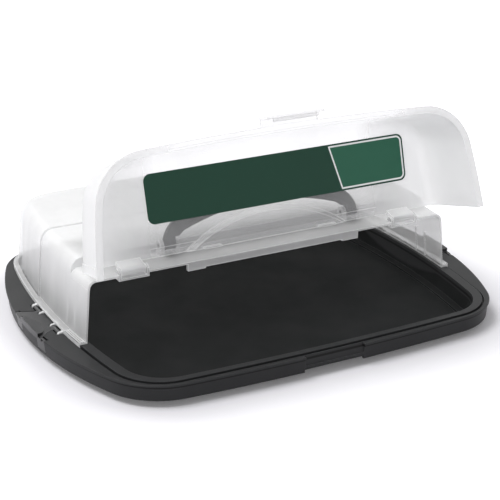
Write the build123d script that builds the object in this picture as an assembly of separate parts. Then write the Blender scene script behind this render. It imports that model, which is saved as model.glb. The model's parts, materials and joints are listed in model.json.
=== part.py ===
"""Rectangular cake carrier: tray, two-part see-through hood, bail handle and two side latches.

Millimetres, +Z up, origin at the centre of the tray's underside, front (the opening) towards -Y.
The front flap is built shut and then swung open about its hinge; the handle is built upright and
then leaned back.
"""
from build123d import *
from math import atan2, cos, hypot, pi, radians, sin, sqrt
import os

os.makedirs("parts", exist_ok=True)

# ---- hood and flap ---------------------------------------------------------------------------
HOOD_HALF_LENGTH = 201.0      # outer face of the hood's wall at its foot
HOOD_HALF_DEPTH = 175.5
HOOD_END_BOW = 18.0           # how far each end bows out beyond its corners
HOOD_SIDE_BOW = 5.5           # how far the front and back bow out
HOOD_CORNER_R = 46.0
HOOD_WALL = 2.0
HOOD_DRAFT = 0.09             # inward slope of the walls, mm per mm of height
HOOD_TOP = 95.5               # top of the full-height rear part
HOOD_END_R = 11.0             # rounding between the top and the end walls
HOOD_BACK_R = 28.0            # rounding between the top and the back wall
FLAP_FRONT_R = 11.0           # rounding between the flap's panel and its front wall
LEDGE_END_R = 8.0             # rounding between the valley and the end walls
FLANGE_OUT = 4.6              # foot flange of hood and flap, beyond the wall
FLANGE_THICK = 2.0
FOOT_LIP = 1.0                # lip under the hood's flange that drops into the tray's groove
FOOT_LIP_DROP = 2.6
FOOT_RIB = 1.0                # lengthwise ribs on the flange in front of each latch
FOOT_RIB_TALL = 1.2
FOOT_RIB_BACK_Y = -40.0
PARTING_Y = -71.5             # plane between the rear hood and the front flap
PARTING_GAP = 0.5
STEP_Y = 46.0                 # behind this the hood is full size, in front it is set in
STEP_IN = 1.6
VALLEY_BACK_Y = -34.0         # the low valley between here and the parting plane
VALLEY_TOP = 84.5
LIP_BOTTOM = 77.0             # stiffening lip under the valley's front edge
LIP_HALF = 92.0
LIP_THICK = 2.0
LIP_PAD_DROP = 1.5            # deeper pads at the lip's two ends
LIP_PAD_LONG = 18.0
END_RIB_Y = (-40.0, -23.0)    # upright ribs inside each end wall
END_RIB_THICK = 1.6
END_RIB_IN = 1.4
END_RIB_LOW = 3.0             # above the hood's foot
END_RIB_HIGH = 29.0

# ---- tray ------------------------------------------------------------------------------------
RIM_AT_END = 29.0             # width of the tray beyond the hood at the middle of each end
RIM_AT_SIDE = 10.5            # and at the middle of the front and the back
TRAY_HALF_LENGTH = HOOD_HALF_LENGTH + RIM_AT_END
TRAY_HALF_DEPTH = HOOD_HALF_DEPTH + RIM_AT_SIDE
TRAY_END_BOW = 47.0
TRAY_SIDE_BOW = 8.0
TRAY_CORNER_R = 66.0
RIM_TOP = 23.0                # height of the flat rim above the table
SKIRT_HEIGHT = 16.0
SKIRT_DRAFT = 1.4             # the skirt's lower edge is this much inside its upper edge
TRAY_WALL = 2.5
RIM_EDGE = 2.0                # height of the rim's edge band
RIM_EDGE_OUT = 0.9            # the edge band stands out beyond the skirt
RIM_EDGE_BEVEL = 0.6
GROOVE_DEPTH = 2.2            # narrow groove around the bead, for the hood's lip
GROOVE_GAP = 0.5              # on each side of the hood's lip
BEAD_RISE = 1.2               # flat bead inside the groove; the hood's foot stands on it
BEAD_AT_END = 6.0             # the bead's inner edge, inside the hood's outline at the ends
BEAD_AT_SIDE = 3.0            # and at the front and the back
BASIN_CORNER_R = 42.0
BASIN_DRAFT = 6.5             # the basin wall slopes in by this much from bead to floor
FLOOR_TOP = 4.0
FOOT_HEIGHT = 1.5             # ring under the tray that stands on the table
FOOT_INSET = 3.5
FOOT_WIDTH = 6.0
LEDGE_WIDTH = 7.0             # low step along the foot of the basin wall
LEDGE_RISE = 2.0

# ---- flap hinge ------------------------------------------------------------------------------
HINGE_BACK = 5.5              # hinge line behind the parting plane
HINGE_UP = 1.5                # and above the valley
HINGE_Y = PARTING_Y + HINGE_BACK
HINGE_Z = VALLEY_TOP + HINGE_UP
FLAP_OPEN_DEG = 105.0
FLAP_RISE = 0.5               # the flap's top stands above the hood's by this much
FLAP_TOP = HOOD_TOP + FLAP_RISE
FLAP_RIM_GAP = 0.4            # shut flap above the tray's bead
FLAP_BAND = 8.0               # thicker band along the flap's parting edge
FLAP_BAND_RISE = 0.8
HINGE_PIN_R = 1.5
HINGE_PIN_GAP = 0.06
KNUCKLE_R = 4.2
KNUCKLE_IN = 55.0             # from the end of the hood to the middle of a knuckle
KNUCKLE_X = HOOD_HALF_LENGTH - KNUCKLE_IN
KNUCKLE_HALF = 12.0
KNUCKLE_SIDE_GAP = 0.6
SOCKET_WALL = 2.4
SOCKET_FLOOR = 2.0
SOCKET_GAP = 1.0              # below and behind the knuckle's round end
STOP_TAB_X = 62.0
STOP_TAB_WIDE = 18.0
STOP_TAB_LONG = 7.0
DISH_HALF = 88.0              # finger dish in the flap's panel, beside the hinge
DISH_DEEP = 30.0
DISH_DROP = 4.0
DISH_SLOPE = 5.0              # the dish's wall slopes in by this much
TAB_HALF = 29.5               # front tab that snaps over the tray's edge
TAB_LIP_LONG = 16.0
TAB_THICK = 1.9
TAB_GAP = 1.1                 # between the tab's lip and the tray's edge
TAB_BARB = 1.4
CLIP_RECESS = 3.0             # recess in the tray's front behind the tab
CLIP_SIDE_GAP = 1.5
CLIP_RAMP = 3.5               # the recess's upper edge is bevelled over this height
CLIP_RAMP_DEEP = 1.6
CLIP_LOW = 9.5                # the skirt ends this high in the recess
CLIP_RIB = 0.8
CLIP_RIB_GAP = 0.3
LABEL_LEFT = 80.0             # bare label under the flap's panel: margins from the hood's outline
LABEL_RIGHT = 40.0
LABEL_FRONT = 26.5
LABEL_DISH_GAP = 0.5
LABEL_R = 7.0
LABEL_THICK = 0.3

# ---- carrying handle -------------------------------------------------------------------------
HANDLE_AHEAD = 7.0            # pivot line in front of the step down into the valley
HANDLE_UP = 9.0               # pivot line above the valley
HANDLE_Y = VALLEY_BACK_Y - HANDLE_AHEAD
HANDLE_Z = VALLEY_TOP + HANDLE_UP
HANDLE_LEAN_DEG = 12.0
HANDLE_HALF = 106.0           # outside of the legs
HANDLE_RISE = 50.0            # pivot to the top of the grip
HANDLE_LEG = 14.0
HANDLE_FOOT = 3.0             # the band reaches this far below the pivot
HANDLE_SHOULDER = 30.0        # outer radius where the legs turn into the grip
HANDLE_GRIP = 24.0            # depth of the band at the middle of the grip
HANDLE_THICK = 7.0
HANDLE_OFFSET = 0.5           # the band stands in front of the pivot line by this much
HANDLE_BEVEL = 1.8
HUB_R = 5.0
HUB_HALF = 5.5
STUB_R = 2.4
STUB_GAP = 0.05
LUG_THICK = 4.0
LUG_GAP = 0.3
LUG_R = 5.5

# ---- side latches ----------------------------------------------------------------------------
LATCH_AXIS_OUT = 6.5          # pivot line beyond the hood's wall at its foot
LATCH_AXIS_DROP = 1.8         # and below the rim
LATCH_PIN_R = 1.1
LATCH_PIN_GAP = 0.06
LATCH_BARREL_R = 2.6
EAR_Y = 14.0                  # inner face of each inner ear
EAR_INNER_WIDE = 2.6
LATCH_BARREL_LONG = 16.0
EAR_OUTER_WIDE = 3.4
EAR_GAP = 0.4
EAR_BACK = 3.4                # the ears' arms reach this far inboard of the pivot line
EAR_UNDER = 0.7               # their thickness under the pin
LATCH_INBOARD = 3.3           # so does the latch's middle
LATCH_SINK = 0.2              # the plate's top below the rim
LATCH_PLATE = 2.4
LATCH_BAR = 3.6               # thicker bar around the pin
LATCH_SLOT = 0.8              # around the ears
LATCH_FRONT_IN = 25.5         # front and rear edges of the plate, beside the bar
LATCH_REAR_IN = 22.0
LATCH_FRONT_OUT = 44.5        # and at the tray's edge
LATCH_REAR_OUT = 29.0
LATCH_GAP = 0.7               # around the latch in its pocket
POCKET_DEEP = 1.6             # below the plate
POCKET_HINGE_DEEP = 6.1       # below the rim, around the ears
TONGUE_WIDE = 17.0            # tongue at each end of the plate's outer edge, down the skirt
TONGUE_THICK = 2.2
TONGUE_BOTTOM = 10.0
TONGUE_BARB = 0.9
BARB_GAP = 0.1                # the stiff tongue just clears the tray; the real one flexes
BARB_TALL = 1.5
PAD_Y = -11.5                 # raised thumb pad at the plate's outer edge
PAD_HALF = 22.0
PAD_DEEP = 13.0
PAD_RISE = 3.8


def bow_radii(a, b, end_bow, side_bow):
    """Radii of the end arcs and the side arcs of a bowed rectangle."""
    xc = a - end_bow
    yc = b - side_bow
    return (yc * yc + end_bow * end_bow) / (2.0 * end_bow), \
        (xc * xc + side_bow * side_bow) / (2.0 * side_bow)


def bowed(a, b, end_bow, side_bow, corner, z, end_in, side_in=None, corner_in=None):
    """Face at height z of a rectangle with bowed sides and round corners.

    Its ends, sides and corners are moved inwards by end_in, side_in and corner_in about their
    own centres; the last two are the same as the first where they aren't given.
    """
    side_in = end_in if side_in is None else side_in
    corner_in = end_in if corner_in is None else corner_in
    re, rs = bow_radii(a, b, end_bow, side_bow)
    ce = (a - re, 0.0)
    cs = (0.0, b - rs)
    e_r = re - end_in
    s_r = rs - side_in
    c_r = corner - corner_in
    # centre of the corner's arc, which touches the end's arc and the side's arc from within
    dx = cs[0] - ce[0]
    dy = cs[1] - ce[1]
    dist = hypot(dx, dy)
    along = ((e_r - c_r) ** 2 - (s_r - c_r) ** 2 + dist * dist) / (2.0 * dist)
    off = sqrt((e_r - c_r) ** 2 - along * along)
    px = ce[0] + along * dx / dist
    py = ce[1] + along * dy / dist
    one = (px - off * dy / dist, py + off * dx / dist)
    two = (px + off * dy / dist, py - off * dx / dist)
    cc = max((one, two), key=lambda q: q[0] + q[1])
    te = atan2(cc[1] - ce[1], cc[0] - ce[0])
    ts = atan2(cc[1] - cs[1], cc[0] - cs[0])

    def at(c, r, t):
        return c[0] + r * cos(t), c[1] + r * sin(t)

    t_end = at(ce, e_r, te)
    t_side = at(cs, s_r, ts)
    mid = at(cc, c_r, (te + ts) / 2.0)
    right = a - end_in
    top = b - side_in

    def p(q, sx, sy):
        return Vector(q[0] * sx, q[1] * sy, z)

    edges = [
        ThreePointArc(p(t_end, 1, -1), Vector(right, 0, z), p(t_end, 1, 1)),
        ThreePointArc(p(t_end, 1, 1), p(mid, 1, 1), p(t_side, 1, 1)),
        ThreePointArc(p(t_side, 1, 1), Vector(0, top, z), p(t_side, -1, 1)),
        ThreePointArc(p(t_side, -1, 1), p(mid, -1, 1), p(t_end, -1, 1)),
        ThreePointArc(p(t_end, -1, 1), Vector(-right, 0, z), p(t_end, -1, -1)),
        ThreePointArc(p(t_end, -1, -1), p(mid, -1, -1), p(t_side, -1, -1)),
        ThreePointArc(p(t_side, -1, -1), Vector(0, -top, z), p(t_side, 1, -1)),
        ThreePointArc(p(t_side, 1, -1), p(mid, 1, -1), p(t_end, 1, -1)),
    ]
    return Face(Wire(edges))


def tray_face(inset, z):
    return bowed(TRAY_HALF_LENGTH, TRAY_HALF_DEPTH, TRAY_END_BOW, TRAY_SIDE_BOW, TRAY_CORNER_R,
                 z, inset)


def hood_face(inset, z):
    return bowed(HOOD_HALF_LENGTH, HOOD_HALF_DEPTH, HOOD_END_BOW, HOOD_SIDE_BOW, HOOD_CORNER_R,
                 z, inset)


def basin_face(inset, z):
    """Outline of the basin where it meets the bead, moved inwards by inset."""
    return bowed(HOOD_HALF_LENGTH - BEAD_AT_END, HOOD_HALF_DEPTH - BEAD_AT_SIDE, HOOD_END_BOW,
                 HOOD_SIDE_BOW, BASIN_CORNER_R, z, inset)


def prism(face, height):
    return extrude(face, amount=height, dir=(0, 0, 1))


def slope(low, high):
    return loft([low, high], ruled=True)


def block(x0, x1, y0, y1, z0, z1):
    return Pos((x0 + x1) / 2, (y0 + y1) / 2, (z0 + z1) / 2) * Box(x1 - x0, y1 - y0, z1 - z0)


def rod_x(x0, x1, y, z, r):
    return Pos((x0 + x1) / 2, y, z) * Rot(0, 90, 0) * Cylinder(r, x1 - x0)


def rod_y(x, y0, y1, z, r):
    return Pos(x, (y0 + y1) / 2, z) * Rot(90, 0, 0) * Cylinder(r, y1 - y0)


def yz_prism(points, x0, x1):
    face = Plane.YZ.offset(x0) * make_face(Polyline(*points, close=True))
    return extrude(face, amount=x1 - x0, dir=(1, 0, 0))


def xz_prism(points, y0, y1):
    face = Plane.XZ.offset(-y0) * make_face(Polyline(*points, close=True))
    return extrude(face, amount=y1 - y0, dir=(0, 1, 0))


def ring(outer_inset, inner_inset, z, height):
    """Band along the hood's outline between two insets."""
    return prism(hood_face(outer_inset, z), height) - prism(hood_face(inner_inset, z - 1.0),
                                                           height + 2.0)


FOOT_Z = RIM_TOP + BEAD_RISE
BIG = 400.0


def hood_form(set_in, top, end_r, side_r, base):
    """Closed solid of the hood's outer or inner form, set in all round, up to a rounded top."""
    zs = [base, top - max(end_r, side_r)]
    for deg in (20, 38, 54, 68, 80, 90):
        zs.append(top - side_r + side_r * sin(radians(deg)))
    sections = []
    for z in zs:
        draft = set_in + HOOD_DRAFT * (z - FOOT_Z)
        end_in = 0.0
        side_in = 0.0
        if z > top - end_r:
            end_in = end_r - sqrt(max(0.0, end_r ** 2 - (z - top + end_r) ** 2))
        if z > top - side_r:
            side_in = side_r - sqrt(max(0.0, side_r ** 2 - (z - top + side_r) ** 2))
        sections.append(bowed(HOOD_HALF_LENGTH, HOOD_HALF_DEPTH, HOOD_END_BOW, HOOD_SIDE_BOW,
                              HOOD_CORNER_R, z, draft + end_in, draft + side_in,
                              draft + 0.5 * min(end_in, side_in)))
    return loft(sections, ruled=True)


HOOD_END_RADIUS = bow_radii(HOOD_HALF_LENGTH, HOOD_HALF_DEPTH, HOOD_END_BOW, HOOD_SIDE_BOW)[0]


def hood_x(y, z, set_in=0.0):
    """Half length of the hood's wall at depth y and height z."""
    inset = set_in + HOOD_DRAFT * (z - FOOT_Z)
    return HOOD_HALF_LENGTH - HOOD_END_RADIUS + sqrt((HOOD_END_RADIUS - inset) ** 2 - y * y)


def both_sides(shape):
    return [shape, mirror(shape, about=Plane.YZ)]


# ---- latch sizes that tray, hood and latch share ----------------------------------------------
LATCH_AXIS_X = HOOD_HALF_LENGTH + LATCH_AXIS_OUT
LATCH_AXIS_Z = RIM_TOP - LATCH_AXIS_DROP
PLATE_TOP = RIM_TOP - LATCH_SINK
PLATE_BOTTOM = PLATE_TOP - LATCH_PLATE
BAR_BOTTOM = PLATE_TOP - LATCH_BAR
BARREL_Y0 = EAR_Y + EAR_INNER_WIDE + EAR_GAP
BARREL_Y1 = BARREL_Y0 + LATCH_BARREL_LONG
EAR_OUT = BARREL_Y1 + EAR_GAP + EAR_OUTER_WIDE
SLOT_X = LATCH_AXIS_X + LATCH_BARREL_R + LATCH_SLOT
TRAY_END_RADIUS = bow_radii(TRAY_HALF_LENGTH, TRAY_HALF_DEPTH, TRAY_END_BOW, TRAY_SIDE_BOW)[0]
SKIRT_BOTTOM = RIM_TOP - SKIRT_HEIGHT
EDGE_BOTTOM = RIM_TOP - RIM_EDGE
TONGUE_FRONT_Y = -LATCH_FRONT_OUT + TONGUE_WIDE / 2
TONGUE_REAR_Y = LATCH_REAR_OUT - TONGUE_WIDE / 2


def skirt_inset(z):
    """How far the skirt's outer face is inside the tray's outline at height z."""
    return RIM_EDGE_OUT + SKIRT_DRAFT * (EDGE_BOTTOM - z) / (EDGE_BOTTOM - SKIRT_BOTTOM)


def tray_x(y):
    """Half length of the tray's outline at depth y."""
    return TRAY_HALF_LENGTH - TRAY_END_RADIUS + sqrt(TRAY_END_RADIUS ** 2 - y * y)


def latch_outline(grow, z, height):
    """Plan of the right-hand latch's plate, from its pivot to beyond the tray's edge."""
    x0 = LATCH_AXIS_X
    x1 = SLOT_X + 1.0
    x2 = TRAY_HALF_LENGTH
    x3 = TRAY_HALF_LENGTH + 4.0
    f_in = -LATCH_FRONT_IN - grow
    f_out = -LATCH_FRONT_OUT - grow
    r_in = LATCH_REAR_IN + grow
    r_out = LATCH_REAR_OUT + grow
    f_mid = f_in + 0.34 * (f_out - f_in)
    x_mid = (x1 + x2) / 2
    edges = [
        Line((x0, f_in, z), (x0, r_in, z)),
        Line((x0, r_in, z), (x1, r_in, z)),
        Line((x1, r_in, z), (x2, r_out, z)),
        Line((x2, r_out, z), (x3, r_out, z)),
        Line((x3, r_out, z), (x3, f_out, z)),
        Line((x3, f_out, z), (x2, f_out, z)),
        ThreePointArc((x2, f_out, z), (x_mid, f_mid, z), (x1, f_in, z)),
        Line((x1, f_in, z), (x0, f_in, z)),
    ]
    return prism(Face(Wire(edges)), height)


def tongue_slots(side_gap, low, high):
    """Bars across the two tongues, from inside the skirt to beyond the tray's edge."""
    half = TONGUE_WIDE / 2 + side_gap
    x0 = tray_x(LATCH_FRONT_OUT) - 12.0
    bars = block(x0, TRAY_HALF_LENGTH + 5.0, TONGUE_FRONT_Y - half, TONGUE_FRONT_Y + half, low, high)
    bars += block(x0, TRAY_HALF_LENGTH + 5.0, TONGUE_REAR_Y - half, TONGUE_REAR_Y + half, low, high)
    return bars


# ---- tray --------------------------------------------------------------------------------------
GROOVE_OUT = FLANGE_OUT + GROOVE_GAP
BEAD_OUT = FLANGE_OUT - FOOT_LIP - GROOVE_GAP
GROOVE_FLOOR = RIM_TOP - GROOVE_DEPTH
POCKET_FLOOR = PLATE_BOTTOM - POCKET_DEEP
HINGE_FLOOR = RIM_TOP - POCKET_HINGE_DEEP
POCKET_IN_X = LATCH_AXIS_X - EAR_BACK - LATCH_SLOT
TONGUE_IN = skirt_inset(TONGUE_BOTTOM) + TONGUE_THICK + TONGUE_BARB


def latch_pocket():
    """What the right-hand latch, its ears and its two tongues take out of the tray."""
    pocket = latch_outline(LATCH_GAP, POCKET_FLOOR, 20.0)
    pocket += block(POCKET_IN_X, SLOT_X + LATCH_GAP, -EAR_OUT - LATCH_GAP, EAR_OUT + LATCH_GAP,
                    HINGE_FLOOR, RIM_TOP + 10.0)
    channels = tongue_slots(LATCH_GAP, TONGUE_BOTTOM - LATCH_GAP, RIM_TOP + 10.0)
    pocket += channels - prism(tray_face(TONGUE_IN + BARB_GAP, 0.0), 50.0)
    return pocket


def latch_floor():
    """Walls and floor under that pocket, inside the skirt."""
    low = latch_outline(LATCH_GAP + TRAY_WALL, POCKET_FLOOR - TRAY_WALL,
                        RIM_TOP - 1.0 - POCKET_FLOOR + TRAY_WALL)
    low += block(POCKET_IN_X - TRAY_WALL, SLOT_X + LATCH_GAP + TRAY_WALL,
                 -EAR_OUT - LATCH_GAP - TRAY_WALL, EAR_OUT + LATCH_GAP + TRAY_WALL,
                 HINGE_FLOOR - TRAY_WALL, RIM_TOP - 1.0)
    backing = tongue_slots(LATCH_GAP + TRAY_WALL, SKIRT_BOTTOM + 0.5, RIM_TOP - 1.0)
    low += backing - prism(tray_face(TONGUE_IN + BARB_GAP + TRAY_WALL, 0.0), 50.0)
    return low & slope(tray_face(skirt_inset(SKIRT_BOTTOM) + 0.4, SKIRT_BOTTOM),
                       tray_face(RIM_EDGE_OUT + 0.4, RIM_TOP))


def make_tray():
    body = slope(tray_face(skirt_inset(SKIRT_BOTTOM), SKIRT_BOTTOM),
                 tray_face(RIM_EDGE_OUT, EDGE_BOTTOM))
    edge = prism(tray_face(0.0, EDGE_BOTTOM), RIM_EDGE)
    body += chamfer(edge.edges().group_by(Axis.Z)[-1], RIM_EDGE_BEVEL)
    body -= slope(tray_face(skirt_inset(SKIRT_BOTTOM) + TRAY_WALL, SKIRT_BOTTOM - 1.0),
                  tray_face(RIM_EDGE_OUT + TRAY_WALL, RIM_TOP - TRAY_WALL))
    # trough, bead and basin under the hood's footprint
    trough_low = GROOVE_FLOOR - TRAY_WALL
    body += prism(hood_face(-GROOVE_OUT - TRAY_WALL, trough_low), RIM_TOP - 1.0 - trough_low)
    body += prism(hood_face(-BEAD_OUT, trough_low), FOOT_Z - trough_low)
    body += slope(basin_face(BASIN_DRAFT - TRAY_WALL, FOOT_HEIGHT),
                  basin_face(-TRAY_WALL, RIM_TOP - 1.0))
    for floor in both_sides(latch_floor()):
        body += floor
    body += prism(basin_face(BASIN_DRAFT + FOOT_INSET, 0.0), FLOOR_TOP)
    body -= prism(basin_face(BASIN_DRAFT + FOOT_INSET + FOOT_WIDTH, -1.0), FOOT_HEIGHT + 1.0)
    body -= ring(-GROOVE_OUT, -BEAD_OUT, GROOVE_FLOOR, 20.0)
    body -= slope(basin_face(BASIN_DRAFT, FLOOR_TOP), basin_face(0.0, FOOT_Z + 0.01))
    ledge = prism(basin_face(BASIN_DRAFT - 1.0, FLOOR_TOP - 0.5), LEDGE_RISE + 0.5)
    body += ledge - prism(basin_face(BASIN_DRAFT + LEDGE_WIDTH, FLOOR_TOP - 1.0), LEDGE_RISE + 3.0)
    for pocket in both_sides(latch_pocket()):
        body -= pocket
    # snap recess for the flap's front tab
    face_y = -TRAY_HALF_DEPTH + CLIP_RECESS
    half = TAB_HALF + CLIP_SIDE_GAP
    body += block(-half - TRAY_WALL, half + TRAY_WALL, face_y - 0.3, face_y + TRAY_WALL,
                  SKIRT_BOTTOM + 0.5, RIM_TOP - 1.0)
    ramp_low = RIM_TOP - CLIP_RAMP
    recess = [(face_y - 10.0, 0.0), (face_y + TRAY_WALL + 0.5, 0.0),
              (face_y + TRAY_WALL + 0.5, CLIP_LOW), (face_y, CLIP_LOW), (face_y, ramp_low),
              (face_y + CLIP_RAMP_DEEP, RIM_TOP + 0.01), (face_y - 10.0, RIM_TOP + 0.01)]
    body -= yz_prism(recess, -half, half)
    rib_z = BARB_LOW + TAB_BARB + CLIP_RIB_GAP
    body += block(-half, half, face_y - CLIP_RIB, face_y + 0.5, rib_z, rib_z + 1.5)
    return body


# ---- rear hood ---------------------------------------------------------------------------------
RIM_UNDER = FOOT_Z + FLAP_RIM_GAP
BARB_LOW = RIM_UNDER + TAB_THICK - TAB_LIP_LONG
AXIS_REAR = HINGE_Y + KNUCKLE_R + SOCKET_GAP


def over_valley(set_in, top, end_r, back_y):
    """Everything in front of back_y and above a top whose ends round into the end walls."""
    sections = []
    for y in (PARTING_Y - 10.0, back_y + 1.0):
        flat = hood_x(y, top - end_r, set_in) - end_r
        right = [(flat + end_r * sin(radians(deg)), top - end_r + end_r * cos(radians(deg)))
                 for deg in range(0, 91, 15)]
        left = [(-x, z) for x, z in reversed(right)]
        ends = [(flat + end_r, -BIG), (-flat - end_r, -BIG)]
        outline = Plane.XZ.offset(-y) * make_face(Polyline(*right, *ends, *left, close=True))
        sections.append(outline.face())
    under = loft(sections, ruled=True)
    front_y = PARTING_Y - 9.0
    return block(-BIG, BIG, front_y, back_y, top - end_r, BIG) - under


def make_rear_hood():
    front_y = PARTING_Y + PARTING_GAP
    rear = hood_form(0.0, HOOD_TOP, HOOD_END_R, HOOD_BACK_R, FOOT_Z)
    middle = hood_form(STEP_IN, HOOD_TOP - STEP_IN, HOOD_END_R, HOOD_BACK_R, FOOT_Z)
    hollow = hood_form(STEP_IN + HOOD_WALL, HOOD_TOP - STEP_IN - HOOD_WALL, HOOD_END_R - HOOD_WALL,
                       HOOD_BACK_R - HOOD_WALL, FOOT_Z - 1.0)
    behind_step = block(-BIG, BIG, STEP_Y, BIG, -BIG, BIG)
    behind_front = block(-BIG, BIG, front_y, BIG, -BIG, BIG)
    body = (rear & behind_step) + (middle & behind_front)
    body -= over_valley(STEP_IN, VALLEY_TOP, LEDGE_END_R, VALLEY_BACK_Y)
    body -= hollow - over_valley(STEP_IN + HOOD_WALL, VALLEY_TOP - HOOD_WALL,
                                 LEDGE_END_R - HOOD_WALL, VALLEY_BACK_Y + HOOD_WALL)
    body += ring(-FLANGE_OUT, STEP_IN + 0.5, FOOT_Z, FLANGE_THICK) & behind_front
    # lip that drops into the tray's groove, left out beside the latches
    lip = ring(-FLANGE_OUT, -FLANGE_OUT + FOOT_LIP, FOOT_Z - FOOT_LIP_DROP, FOOT_LIP_DROP + 0.5)
    lip &= behind_front
    half = EAR_OUT + LATCH_GAP
    body += lip - block(-BIG, BIG, -half, half, -BIG, BIG)
    # ribs on the flange in front of each latch
    beside_latch = block(-BIG, BIG, front_y, FOOT_RIB_BACK_Y, -BIG, BIG)
    pitch = (FLANGE_OUT + STEP_IN) / 3
    for i in range(3):
        start = -FLANGE_OUT + i * pitch
        body += ring(start, start + FOOT_RIB, FOOT_Z + FLANGE_THICK - 0.5,
                     FOOT_RIB_TALL + 0.5) & beside_latch
    # upright ribs inside the end walls
    for y in END_RIB_Y:
        low = FOOT_Z + END_RIB_LOW
        high = FOOT_Z + END_RIB_HIGH
        x_low = hood_x(y, low, STEP_IN + HOOD_WALL)
        x_high = hood_x(y, high, STEP_IN + HOOD_WALL)
        rib = xz_prism([(x_low + 0.6, low), (x_high + 0.6, high), (x_high - END_RIB_IN, high),
                        (x_low - END_RIB_IN, low)], y - END_RIB_THICK / 2, y + END_RIB_THICK / 2)
        for one in both_sides(rib):
            body += one
    # stiffening lip under the valley's front edge
    body += block(-LIP_HALF, LIP_HALF, front_y, front_y + LIP_THICK, LIP_BOTTOM, VALLEY_TOP - 0.5)
    for s in (-1, 1):
        x_in = s * (LIP_HALF - LIP_PAD_LONG)
        x_out = s * LIP_HALF
        body += block(min(x_in, x_out), max(x_in, x_out), front_y, front_y + 2 * LIP_THICK,
                      LIP_BOTTOM - LIP_PAD_DROP, VALLEY_TOP - 0.5)
    # socket for each hinge knuckle, open to the front and the top
    clear_half = KNUCKLE_HALF + KNUCKLE_SIDE_GAP
    socket_bottom = HINGE_Z - KNUCKLE_R - SOCKET_GAP - SOCKET_FLOOR
    for s in (-1, 1):
        cx = s * KNUCKLE_X
        out = clear_half + SOCKET_WALL
        body += block(cx - out, cx + out, front_y, AXIS_REAR + SOCKET_WALL, socket_bottom,
                      VALLEY_TOP - 0.5)
        for side in (-1, 1):
            x0 = cx + side * clear_half
            x1 = cx + side * out
            cheek = yz_prism([(front_y, VALLEY_TOP - 1.0), (front_y, HINGE_Z + 1.0),
                              (HINGE_Y - 1.0, HINGE_Z + 3.4), (HINGE_Y + 1.5, HINGE_Z + 3.4),
                              (AXIS_REAR, VALLEY_TOP - 1.0)], min(x0, x1), max(x0, x1))
            body += cheek
        body -= block(cx - clear_half, cx + clear_half, front_y - 5.0, AXIS_REAR + SOCKET_GAP,
                      socket_bottom + SOCKET_FLOOR, HINGE_Z + 20.0)
        body -= rod_x(cx - out, cx + out, HINGE_Y, HINGE_Z, HINGE_PIN_R)
    # pivot lugs of the handle
    for s in (-1, 1):
        mid = s * (HANDLE_HALF - HANDLE_LEG / 2)
        for side in (-1, 1):
            x0 = mid + side * (HUB_HALF + LUG_GAP)
            x1 = x0 + side * LUG_THICK
            lug = rod_x(min(x0, x1), max(x0, x1), HANDLE_Y, HANDLE_Z, LUG_R)
            lug += block(min(x0, x1), max(x0, x1), HANDLE_Y - LUG_R, HANDLE_Y + LUG_R,
                         VALLEY_TOP - 1.0, HANDLE_Z)
            lug -= rod_x(min(x0, x1) - 1.0, max(x0, x1) + 1.0, HANDLE_Y, HANDLE_Z,
                         STUB_R + STUB_GAP)
            body += lug
    for ears in both_sides(make_ears()):
        body += ears
    return body


def ear_ranges():
    """The y ranges of the four ears that carry one latch's pin."""
    inner = (EAR_Y, EAR_Y + EAR_INNER_WIDE)
    outer = (EAR_OUT - EAR_OUTER_WIDE, EAR_OUT)
    return [inner, outer, (-inner[1], -inner[0]), (-outer[1], -outer[0])]


def make_ears():
    """Ears under the right-hand end of the flange, bored for the latch's pin."""
    x_in = LATCH_AXIS_X - EAR_BACK
    x_edge = HOOD_HALF_LENGTH + FLANGE_OUT - 1.0
    low = LATCH_AXIS_Z - LATCH_PIN_R - EAR_UNDER
    arm = [(x_in, low), (LATCH_AXIS_X, low), (LATCH_AXIS_X, LATCH_AXIS_Z + LATCH_BARREL_R - 0.2),
           (x_edge, FOOT_Z + 0.5), (x_in, FOOT_Z + 0.5)]
    ears = None
    for y0, y1 in ear_ranges():
        ear = rod_y(LATCH_AXIS_X, y0, y1, LATCH_AXIS_Z, LATCH_BARREL_R) + xz_prism(arm, y0, y1)
        ears = ear if ears is None else ears + ear
    return ears - rod_y(LATCH_AXIS_X, -BIG, BIG, LATCH_AXIS_Z, LATCH_PIN_R)


# ---- front flap, built shut --------------------------------------------------------------------
def opened(shape):
    return shape.rotate(Axis((0, HINGE_Y, HINGE_Z), (1, 0, 0)), -FLAP_OPEN_DEG)


def dish_face(half, deep, z):
    """Segment with its straight side on the parting plane."""
    y0 = PARTING_Y + 1.0
    arc = ThreePointArc((half, y0, z), (0, PARTING_Y - deep, z), (-half, y0, z))
    return Face(Wire([arc, Line((-half, y0, z), (half, y0, z))]))


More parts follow.
